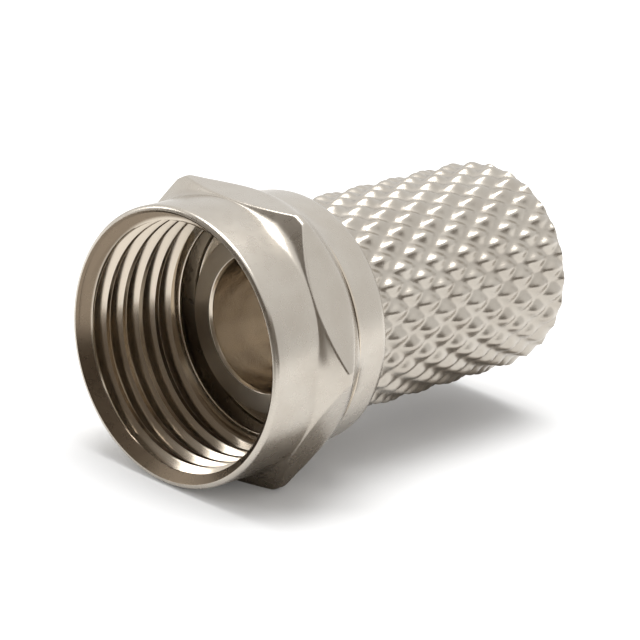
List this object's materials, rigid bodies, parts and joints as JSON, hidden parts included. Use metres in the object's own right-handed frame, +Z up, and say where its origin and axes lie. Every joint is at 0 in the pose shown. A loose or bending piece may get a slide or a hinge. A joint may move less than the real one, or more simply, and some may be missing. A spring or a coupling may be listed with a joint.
{
  "type": "f connector",
  "caption": "Screw-on coaxial F connector: a captive hexagonal coupling nut with a threaded round mouth, free to spin on a diamond-knurled tubular body with a cable bore.",
  "frame": {"origin": "centre of the coupling nut's mouth, on the axis and in the plane of its front edge", "axes": "+X runs along the axis from the nut's mouth towards the cable end; +Z is up through a flat of the hexagon, so the part lies on the opposite flat; +Y points at a corner of the hexagon"},
  "size_m": [0.0166, 0.0113, 0.01],
  "materials": {
    "nickel_plate": "satin"
  },
  "bodies": {
    "body": {"knurled_body": "nickel_plate"},
    "nut": {"coupling_nut": "nickel_plate"}
  },
  "joints": [
    {"name": "nut_spin", "type": "hinge", "parent": "body", "child": "nut", "pos_m": [0.0056, 0, 0], "axis": [1, 0, 0], "continuous": true}
  ]
}
